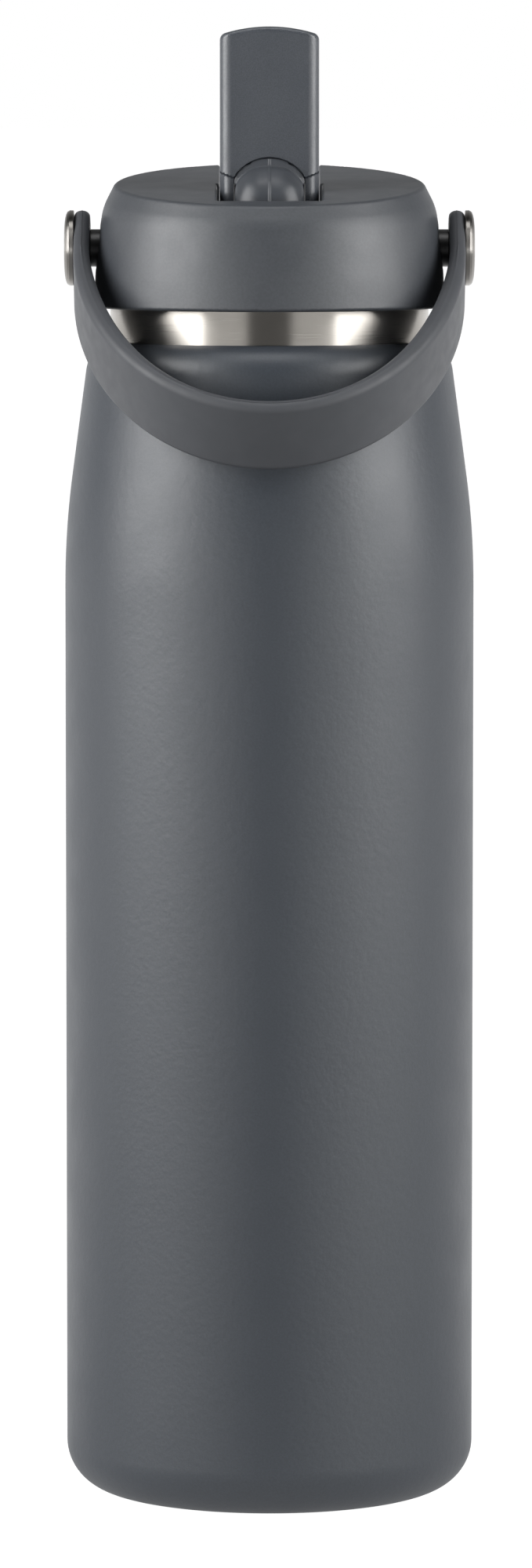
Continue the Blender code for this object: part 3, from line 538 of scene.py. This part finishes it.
def turned(name, profile, steps=TURN_STEPS, sharp_deg=40):
    """Turns a closed (radius, height) outline about Z; points at radius 0 close it on the axis."""
    points, rings, faces = [], [], []
    for radius, height in profile:
        count = 1 if radius == 0.0 else steps
        rings.append(range(len(points), len(points) + count))
        for k in range(count):
            angle = math.tau * k / steps
            points.append((radius * math.cos(angle), radius * math.sin(angle), height))
    for lower, upper in zip(rings, rings[1:] + rings[:1]):
        for k in range(steps if max(len(lower), len(upper)) > 1 else 0):
            after = (k + 1) % steps
            corners = [lower[k % len(lower)], lower[after % len(lower)],
                       upper[after % len(upper)], upper[k % len(upper)]]
            faces.append(list(dict.fromkeys(corners)))
    return mesh_from(name, points, faces, sharp_deg)


def laid_along_x(mesh, side, y, z):
    """Moves a mesh turned about Z onto the X axis, pointing outwards on the given side."""
    lay = Matrix.Rotation(side * math.pi / 2, 4, "Y")
    mesh.transform(Matrix.Translation((0.0, y * MM, z * MM)) @ lay)


def vertices_of(mesh):
    flat = np.empty(len(mesh.vertices) * 3)
    mesh.vertices.foreach_get("co", flat)
    return flat.reshape(-1, 3)


def slope_of(field, points, step=0.01):
    """The field's gradient at each point, by central differences."""
    slopes = np.empty_like(points)
    for axis in range(3):
        offset = np.zeros(3)
        offset[axis] = step
        slopes[:, axis] = (field(points + offset) - field(points - offset)) / (2 * step)
    return slopes


def settled(mesh, field):
    """Moves each vertex onto the field's surface in short steps and gives it the field's own normal."""
    rounds, longest_mm = 8, 0.25
    points = vertices_of(mesh) / MM
    for _ in range(rounds):
        value = field(points)
        slope = slope_of(field, points)
        step = -value / np.maximum((slope ** 2).sum(axis=1), 0.05)
        move = slope * step[:, None]
        length = np.linalg.norm(move, axis=1)
        move *= np.minimum(1.0, longest_mm / np.maximum(length, 1e-9))[:, None]
        points += move
    mesh.vertices.foreach_set("co", (points * MM).ravel())
    normals = slope_of(field, points, 0.02)
    normals /= np.maximum(np.linalg.norm(normals, axis=1), 1e-9)[:, None]
    mesh.shade_smooth()
    mesh.normals_split_custom_set_from_vertices(normals.tolist())
    mesh.update()
    return mesh


def remeshed(name, source, voxel_mm):
    """An even quad skin over a source mesh, ready to be settled onto a field."""
    carrier = added(name + "_carrier", source)
    grid = carrier.modifiers.new("grid", "REMESH")
    grid.mode = "VOXEL"
    grid.voxel_size = voxel_mm * MM * (1.0 if FINE else 2.0)
    relax = carrier.modifiers.new("relax", "SMOOTH")
    relax.iterations = 3
    view = carrier.evaluated_get(bpy.context.evaluated_depsgraph_get())
    mesh = bpy.data.meshes.new_from_object(view)
    mesh.name = name
    bpy.data.objects.remove(carrier, do_unlink=True)
    return mesh


def cad_mesh(node):
    return frame["nodes"][node].data.copy()


def rough_blob(name, egg_shape, tubes, blocks):
    """One rough egg, upright tubes and boxes that overlap, for a remesh to turn into one skin."""
    builder = bmesh.new()
    centre, across, deep, up, down = egg_shape
    made = bmesh.ops.create_uvsphere(builder, u_segments=48, v_segments=32, radius=1.0)
    for vert in made["verts"]:
        tall = up if vert.co.z > 0 else down
        vert.co = Vector((vert.co.x * across, vert.co.y * deep, vert.co.z * tall)) + Vector(centre)
    for centre, across, deep, low, high in tubes:
        made = bmesh.ops.create_cone(builder, cap_ends=True, segments=48, radius1=1.0, radius2=1.0, depth=1.0)
        for vert in made["verts"]:
            level = high if vert.co.z > 0 else low
            vert.co = Vector((vert.co.x * across + centre[0], vert.co.y * deep + centre[1], level))
    for low, high in blocks:
        made = bmesh.ops.create_cube(builder, size=1.0)
        for vert in made["verts"]:
            vert.co = Vector([(a + b) / 2 + (b - a) * c for a, b, c in zip(low, high, vert.co)])
    bmesh.ops.scale(builder, vec=(MM, MM, MM), verts=builder.verts)
    mesh = bpy.data.meshes.new(name)
    builder.to_mesh(mesh)
    builder.free()
    return mesh


# ---------------------------------------------------------------- vessel pieces

def shell_side(inset):
    """Outer wall's outline from the base to the neck hole, moved inwards; the hole stays."""
    slope_deg = math.degrees(SHOULDER_SLOPE)
    bend = (BODY_RADIUS - SHOULDER_CURVE, SHOULDER_START)
    bend_end = arc(bend, SHOULDER_CURVE, 0, slope_deg, 1)[-1]
    edge_z = SHOULDER_TOP - SHOULDER_EDGE * math.sin(SHOULDER_END)
    edge_start_z = edge_z + SHOULDER_EDGE * math.sin(SHOULDER_SLOPE)
    edge_start_r = bend_end[0] - (edge_start_z - bend_end[1]) * math.tan(SHOULDER_SLOPE)
    edge = (edge_start_r - SHOULDER_EDGE * math.cos(SHOULDER_SLOPE), edge_z)
    end_deg = math.degrees(math.acos(SHOULDER_EDGE * math.cos(SHOULDER_END) / (SHOULDER_EDGE - inset)))
    straight = [(BODY_RADIUS - inset, z) for z in np.linspace(BASE_FILLET, SHOULDER_START, 14)[1:-1]]
    return (arc((BODY_RADIUS - BASE_FILLET, BASE_FILLET), BASE_FILLET - inset, -90, 0, 18) + straight
            + arc(bend, SHOULDER_CURVE - inset, 0, slope_deg, 10)
            + arc(edge, SHOULDER_EDGE - inset, slope_deg, end_deg, 14))


def make_vessel(finishes):
    outer, inner = shell_side(0.0), shell_side(COAT_WALL)
    neck_hole, hole_z = outer[-1]
    coat_edge = 0.12
    profile = [(BASE_OPENING, BASE_LIP), (BASE_OPENING + BASE_LIP, 0.0)] + outer
    profile += [(neck_hole, hole_z - coat_edge)] + list(reversed(inner)) + [(BASE_OPENING, COAT_WALL)]
    coat = turned("coated_wall", profile, sharp_deg=50)
    new_piece("coated_wall", coat, finishes["powder_coat"], "vessel", ["outer_shell"])

    cover_high = node_box("base_cover")[1]
    radius, top = cover_high[0], cover_high[2]
    mouth, bed, depth = 0.5, 0.2, 0.12
    profile = [(0.0, 0.0)]
    for groove in COVER_GROOVES:
        profile += [(groove - mouth, 0.0), (groove - bed, depth)]
        profile += [(groove + bed, depth), (groove + mouth, 0.0)]
    profile += [(radius - COVER_EDGE, 0.0)]
    profile += arc((radius - COVER_EDGE, COVER_EDGE), COVER_EDGE, -90, 0, 4)
    profile += [(radius, top), (0.0, top)]
    cover = turned("base_disc", profile, sharp_deg=60)
    new_piece("base_disc", cover, finishes["cover_steel"], "vessel", ["base_cover"])


def neck_profile():
    """Outline of the band, with both corners of its drinking rim rounded."""
    radius, low, rim_z = NECK_HIGH[0], NECK_LOW[2], NECK_HIGH[2] - NECK_RIM
    return ([(NECK_BORE, low), (radius, low)]
            + arc((radius - NECK_RIM, rim_z), NECK_RIM, 0, 90, 6)
            + arc((NECK_BORE + NECK_RIM, rim_z), NECK_RIM, 90, 180, 6))


def thread_ridge():
    """The internal right-hand thread, rooted in the neck's wall and fading out at both ends."""
    root = NECK_BORE + THREAD_ROOT_DEEP
    total = int(TURN_STEPS * THREAD_TURNS)
    points, faces = [], []
    for k in range(total + 1):
        grown = max(0.05, min(1.0, min(k, total - k) / (TURN_STEPS * THREAD_FADE)))
        angle = math.tau * k / TURN_STEPS
        z = THREAD_START + THREAD_LEAD * k / TURN_STEPS
        top = NECK_BORE + (THREAD_CREST - NECK_BORE) * grown
        for r, dz in ((root, -THREAD_ROOT_HALF), (top, -THREAD_CREST_HALF),
                      (top, THREAD_CREST_HALF), (root, THREAD_ROOT_HALF)):
            points.append((r * math.cos(angle), r * math.sin(angle), z + dz))
    for k in range(total):
        for side in range(4):
            a, b = 4 * k + side, 4 * k + (side + 1) % 4
            faces.append([a, b, b + 4, a + 4])
    faces.append([3, 2, 1, 0])
    faces.append([4 * total + side for side in range(4)])
    return mesh_from("neck_ridge", points, faces)


def make_neck(finishes):
    ring = turned("neck_band", neck_profile(), sharp_deg=50)
    builder = bmesh.new()
    builder.from_mesh(ring)
    builder.from_mesh(thread_ridge())
    builder.to_mesh(ring)
    builder.free()
    ring.shade_smooth()
    ring.set_sharp_from_angle(angle=math.radians(50))
    new_piece("neck_band", ring, finishes["neck_steel"], "vessel", ["neck_ring"])


# ---------------------------------------------------------------- lid, spout and handle pieces

def make_lid(finishes):
    mesh = settled(remeshed("lid_cover", cad_mesh("lid_cap"), 0.4), lid_field)
    new_piece("lid_cover", mesh, finishes["lid_plastic"], "lid", ["lid_cap"])


def make_spout(finishes):
    shell = settled(remeshed("spout_cover", cad_mesh("spout_shell"), 0.25), spout_field)
    new_piece("spout_cover", shell, finishes["spout_plastic"], "spout", ["spout_shell"])
    nozzle = settled(remeshed("soft_nozzle", cad_mesh("mouthpiece"), 0.2), mouthpiece_field)
    new_piece("soft_nozzle", nozzle, finishes["knee_silicone"], "spout", ["mouthpiece"])


def make_knee(finishes):
    """The knee starts as rough shapes near its final size and settles onto its field."""
    y = HINGE[1]
    stem = ((0.0, STRAW_Y), KNEE_STEM, KNEE_STEM, KNEE_STEM_FOOT, KNEE_STEM_TOP)
    neck = ((0.0, y), KNEE_NECK_HALF, KNEE_NECK_DEEP, *ROUGH_NECK)
    web = ((0.0, y - KNEE_WEB_Q), WINDOW_HALF, ROUGH_WEB_DEEP, *ROUGH_WEB)
    back, front = (y - q for q in ROUGH_PLUG_Q)
    plug = [((-half, front, ROUGH_PLUG_FOOT), (half, back, top)) for half, top in ROUGH_PLUG_STEPS]
    rough = rough_blob("knee_rough", KNEE_DOME, [stem, neck, web], plug)
    mesh = settled(remeshed("soft_knee", rough, 0.16), knee_field)
    knee = new_piece("soft_knee", mesh, finishes["knee_silicone"], None, ["flex_elbow"])
    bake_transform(knee)


def strap_place(x, v, w):
    """A point x to the side, v along the arms and w across the strap's width, turned by its hang."""
    return (x, -v * math.cos(HANG) - w * math.sin(HANG), PIVOT[2] - v * math.sin(HANG) + w * math.cos(HANG))


def strap_outline(half_width, extra):
    """Cross-section (thickness, width) with round narrow edges and a fine raised line along each."""
    half = (STRAP_THICK + extra) / 2
    corner = min(STRAP_THICK / 2 - STRAP_FLAT_HALF, half_width * 0.7)
    points = []
    for number, (sx, sy) in enumerate(((1, 1), (-1, 1), (-1, -1), (1, -1))):
        centre = (sx * (half - corner), sy * (half_width - corner))
        points += arc(centre, corner, 90 * number, 90 * number + 90, 9)
        if number in (0, 2):
            line_w = sy * (half_width + STRAP_LINE_RISE)
            points += [(STRAP_LINE_HALF * sx, line_w), (-STRAP_LINE_HALF * sx, line_w)]
    return points


def strap_ring(inner, outer, half_width, flare=0.0, extra=0.0):
    """The cross-section laid from the inner to the outer face, leaning by the flare."""
    inner, outer = np.array(inner), np.array(outer)
    middle = (inner + outer) / 2
    across = (outer - inner) / np.linalg.norm(outer - inner)
    ring = []
    for n, w in strap_outline(half_width, extra):
        x, v = middle + across * (n - extra / 2)
        ring.append(strap_place(x, v - flare * w / half_width, w))
    return ring


def arm_rings(side):
    """The round end of an arm and the straight stretch to the loop."""
    inner_x, outer_x = side * ARM_INNER, side * (ARM_INNER + STRAP_THICK)
    rings = []
    for angle in np.radians(np.linspace(84, 0, 15)):
        v, half = -STRAP_HALF * math.sin(angle), STRAP_HALF * math.cos(angle)
        rings.append(strap_ring((inner_x, v), (outer_x, v), half))
    for v in np.linspace(0, ARM_STRAIGHT, 5)[1:-1]:
        rings.append(strap_ring((inner_x, v), (outer_x, v), STRAP_HALF))
    return rings


def loop_rings():
    """The loop from arm to arm, a little wider and leaning outwards towards its middle."""
    outer_x = ARM_INNER + STRAP_THICK
    rings = []
    for angle in np.linspace(0, math.pi, (160 if FINE else 60) + 1):
        bulge = math.sin(angle)
        inner = (ARM_INNER * math.cos(angle), ARM_STRAIGHT + LOOP_INNER * bulge)
        outer = (outer_x * math.cos(angle), ARM_STRAIGHT + LOOP_OUTER * bulge)
        extra = BEND_EXTRA * math.sin(2 * angle) * math.cos(angle) ** 3
        rings.append(strap_ring(inner, outer, STRAP_HALF + LOOP_WIDER * bulge, LOOP_FLARE * bulge, extra))
    return rings


def make_strap(finishes):
    rings = arm_rings(1) + loop_rings() + list(reversed(arm_rings(-1)))
    count, last = len(rings[0]), len(rings) - 1
    points = [point for ring in rings for point in ring]
    faces = []
    for start in range(0, last * count, count):
        for k in range(count):
            after = (k + 1) % count
            faces.append([start + k, start + after, start + count + after, start + count + k])
    faces.append(list(range(count - 1, -1, -1)))
    faces.append(list(range(last * count, (last + 1) * count)))
    mesh = mesh_from("strap", points, faces, sharp_deg=60)
    new_piece("strap", mesh, finishes["strap_rubber"], "handle", ["handle_strap"])


def rivet_profile():
    """Outline of a pin, a flat underside, a short rim and a crown that is flat in its middle."""
    under, end = ARM_INNER + STRAP_THICK + SEAT, RIVET_HIGH[0]
    radius = RIVET_HIGH[2] - PIVOT[2] - RIVET_INSET
    rim_end, crown_radius = end - RIVET_CROWN, radius - RIVET_EDGE
    profile = [(0.0, RIVET_PIN_START), (PIN_RADIUS, RIVET_PIN_START), (PIN_RADIUS, under)]
    profile += [(radius - RIVET_EDGE, under), (radius, under + RIVET_EDGE)]
    profile += [(radius, rim_end - EDGE_BREAK), (radius - EDGE_BREAK, rim_end)]
    profile += [(share * crown_radius, rim_end + (end - rim_end) * math.sqrt(1 - share ** 5))
                for share in np.cos(np.radians(np.linspace(6, 84, 27)))]
    return profile + [(0.0, end)]


def post_profile():
    """Outline of a stub with a shoulder, a shank through the strap and a bore for the rivet's pin."""
    start, radius, bore = POST_LOW[0], POST_HIGH[2] - PIVOT[2], PIN_RADIUS + GAP
    shoulder, end = ARM_INNER - SEAT, ARM_INNER + STRAP_THICK
    return [(0.0, start), (radius, start), (radius, shoulder - EDGE_BREAK), (radius - EDGE_BREAK, shoulder),
            (POST_SHANK, shoulder), (POST_SHANK, end), (bore, end), (bore, POST_BORE_START),
            (0.0, POST_BORE_START)]


def make_pivots(finishes):
    for side, hand in ((-1, "left"), (1, "right")):
        head = turned(f"rivet_head_{hand}", rivet_profile(), 128, 30)
        laid_along_x(head, side, 0.0, PIVOT[2])
        new_piece(f"rivet_head_{hand}", head, finishes["rivet_steel"], "lid", [f"rivet_{hand}"])
        stub = turned(f"pivot_stub_{hand}", post_profile(), 96)
        laid_along_x(stub, side, 0.0, PIVOT[2])
        # The stubs' near-black finish is painted shade: they are lid plastic, darkened for the shade they sit
        # in beside the strap arms.
        new_piece(f"pivot_stub_{hand}", stub, finishes["black_plastic"], "lid",
                  [f"pivot_post_{hand}"])


def dress_hidden_nodes(finishes):
    """The CAD nodes that stay as they are get the same procedural finishes."""
    looks = {
        "inner_liner": "neck_steel", "outer_base": "cover_steel", "vacuum_seal": "cover_steel",
        "getter": "cover_steel", "lid_gasket": "knee_silicone", "lid_plug": "lid_plastic",
        "lid_foam": "foam", "straw": "clear_polymer", "vent_valve": "knee_silicone",
        "spout_pin_left": "rivet_steel", "spout_pin_right": "rivet_steel",
    }
    for node, look in looks.items():
        for slot in frame["nodes"][node].material_slots:
            slot.material = finishes[look]


# ---------------------------------------------------------------- stage, light and camera

def make_world():
    """A white surround; the light it casts comes from behind the bottle and leaves the front dark."""
    world = bpy.data.worlds.new("studio")
    bpy.context.scene.world = world
    world.use_nodes = True
    tree = world.node_tree
    tree.nodes.clear()
    output = tree.nodes.new("ShaderNodeOutputWorld")
    direction = tree.nodes.new("ShaderNodeTexCoord")
    split = tree.nodes.new("ShaderNodeSeparateXYZ")
    tree.links.new(direction.outputs["Generated"], split.inputs["Vector"])
    back = mapped(tree, split.outputs["Y"], WORLD_BACK_RAMP)
    rise = mapped(tree, split.outputs["Z"], WORLD_RISE_RAMP)
    studio = tree.nodes.new("ShaderNodeBackground")
    tree.links.new(product(tree, back.outputs["Result"], rise.outputs["Result"]), studio.inputs["Strength"])
    pale = tree.nodes.new("ShaderNodeBackground")
    pale.inputs["Color"].default_value = WHITE
    path = tree.nodes.new("ShaderNodeLightPath")
    mix = tree.nodes.new("ShaderNodeMixShader")
    tree.links.new(path.outputs["Is Camera Ray"], mix.inputs["Fac"])
    tree.links.new(studio.outputs["Background"], mix.inputs[1])
    tree.links.new(pale.outputs["Background"], mix.inputs[2])
    tree.links.new(mix.outputs["Shader"], output.inputs["Surface"])


def floor_material():
    """Pale and dull, glowing more towards the back and beside the bottle, and seen as plain white."""
    pale = bpy.data.materials.new("pale_floor")
    pale.use_nodes = True
    tree = pale.node_tree
    shader = tree.nodes["Principled BSDF"]
    shader.inputs["Base Color"].default_value = (FLOOR_PALE, FLOOR_PALE, FLOOR_PALE, 1.0)
    shader.inputs["Roughness"].default_value = 0.9
    shader.inputs["Specular IOR Level"].default_value = 0.1
    shader.inputs["Emission Color"].default_value = WHITE
    place = tree.nodes.new("ShaderNodeTexCoord")
    split = tree.nodes.new("ShaderNodeSeparateXYZ")
    reach = tree.nodes.new("ShaderNodeVectorMath")
    reach.operation = "LENGTH"
    tree.links.new(place.outputs["Object"], split.inputs["Vector"])
    tree.links.new(place.outputs["Object"], reach.inputs[0])
    back = mapped(tree, split.outputs["Y"], FLOOR_BACK_RAMP)
    near = mapped(tree, reach.outputs["Value"], FLOOR_NEAR_RAMP)
    for node in (back, near):
        node.interpolation_type = "SMOOTHSTEP"
    path = tree.nodes.new("ShaderNodeLightPath")
    seen = tree.nodes.new("ShaderNodeMix")       # its sockets 2 and 3 are the two values it mixes
    seen.inputs[3].default_value = FLOOR_SEEN
    tree.links.new(path.outputs["Is Camera Ray"], seen.inputs[0])
    tree.links.new(product(tree, back.outputs["Result"], near.outputs["Result"]), seen.inputs[2])
    tree.links.new(seen.outputs[0], shader.inputs["Emission Strength"])
    return pale


def make_floor():
    mesh = bpy.data.meshes.new("floor")
    corners = [(x * FLOOR_HALF, y * FLOOR_HALF, 0) for x, y in ((-1, -1), (1, -1), (1, 1), (-1, 1))]
    mesh.from_pydata(corners, [], [(0, 1, 2, 3)])
    mesh.materials.append(floor_material())
    added("floor", mesh)


def panel(name, width, height, radiance):
    """A soft rectangular light of the given radiance, still to be placed."""
    light = bpy.data.lights.new(name, "AREA")
    light.shape = "RECTANGLE"
    light.size, light.size_y = width, height
    light.energy = radiance * math.pi * width * height
    return added(name, light)


def softbox(name, azimuth_deg, distance, width, low, high, radiance):
    """A tall soft panel that faces the bottle; azimuth 0 is the camera's side, positive to its right."""
    box = panel(name, width, high - low, radiance)
    angle = math.radians(azimuth_deg)
    box.location = (distance * math.sin(angle), -distance * math.cos(angle), (low + high) / 2)
    box.rotation_euler = (math.pi / 2, 0.0, angle)


def high_panel(name, distance, rise, width, depth, radiance):
    """A raised soft panel on the camera's side that looks down at the lid."""
    box = panel(name, width, depth, radiance)
    box.location = (0.0, -distance, LID_TOP * MM + rise)
    aim = Vector((0.0, 0.0, LID_TOP * MM)) - box.location
    box.rotation_euler = aim.to_track_quat("-Z", "Y").to_euler()


def make_lights():
    """Two tall keys beside the bottle, two dimmer ones between them and the camera, and one above."""
    softbox("key_left", -70, 1.0, 0.76, 0.12, 1.3, 5.5)
    softbox("key_right", 69, 1.0, 0.74, 0.12, 1.25, 4.6)
    softbox("mid_left", -34, 1.1, 0.72, 0.02, 0.25, 2.3)
    softbox("mid_right", 34, 1.1, 0.72, 0.02, 0.25, 2.3)
    high_panel("top", 0.3, 1.3, 1.0, 0.5, 2.4)


def make_camera():
    """A long lens in front of the bottle that looks slightly down."""
    lens = bpy.data.cameras.new("camera")
    lens.sensor_width = 36.0
    lens.lens = CAMERA_LENS
    lens.clip_start = 0.05
    lens.clip_end = 200.0
    camera = added("camera", lens)
    camera.location = CAMERA_PLACE
    camera.rotation_euler = (math.pi / 2 - CAMERA_PITCH, 0.0, 0.0)
    bpy.context.scene.camera = camera


# ---------------------------------------------------------------- assembly

def make_finishes():
    return {
        "powder_coat": powder_coat(),
        "lid_plastic": moulded_plastic("lid_plastic", (0.045, 0.0505, 0.059), (0.056, 0.062, 0.072), 0.47),
        "spout_plastic": moulded_plastic("spout_plastic", (0.05, 0.057, 0.068), (0.075, 0.083, 0.097), 0.36,
                                         grain_mm=0.22, depth_mm=0.04),
        "knee_silicone": silicone("knee_silicone", (0.058, 0.063, 0.072), (0.066, 0.072, 0.082), 0.34),
        "strap_rubber": silicone("strap_rubber_look", (0.069, 0.073, 0.081), (0.075, 0.079, 0.088), 0.5),
        # near-black plastic for the pivot stubs is painted shade standing in for the shade beside the strap
        # arms
        "black_plastic": moulded_plastic("stub_plastic_painted_shade", (0.012, 0.012, 0.013), (0.02, 0.02, 0.021),
                                         0.4),
        "neck_steel": brushed_steel("neck_steel", (0.5, 0.473, 0.435), 0.3),
        "cover_steel": brushed_steel("cover_steel", (0.45, 0.44, 0.42), 0.45),
        "rivet_steel": brushed_steel("rivet_steel", (0.36, 0.345, 0.325), 0.36, "X"),
        "clear_polymer": clear_polymer(),
        "foam": foam(),
    }


def main():
    bpy.context.scene.view_settings.view_transform = "Standard"
    make_camera()
    make_world()
    make_floor()
    make_lights()
    finishes = make_finishes()
    make_vessel(finishes)
    make_neck(finishes)
    make_lid(finishes)
    make_spout(finishes)
    make_knee(finishes)
    make_strap(finishes)
    make_pivots(finishes)
    dress_hidden_nodes(finishes)


main()
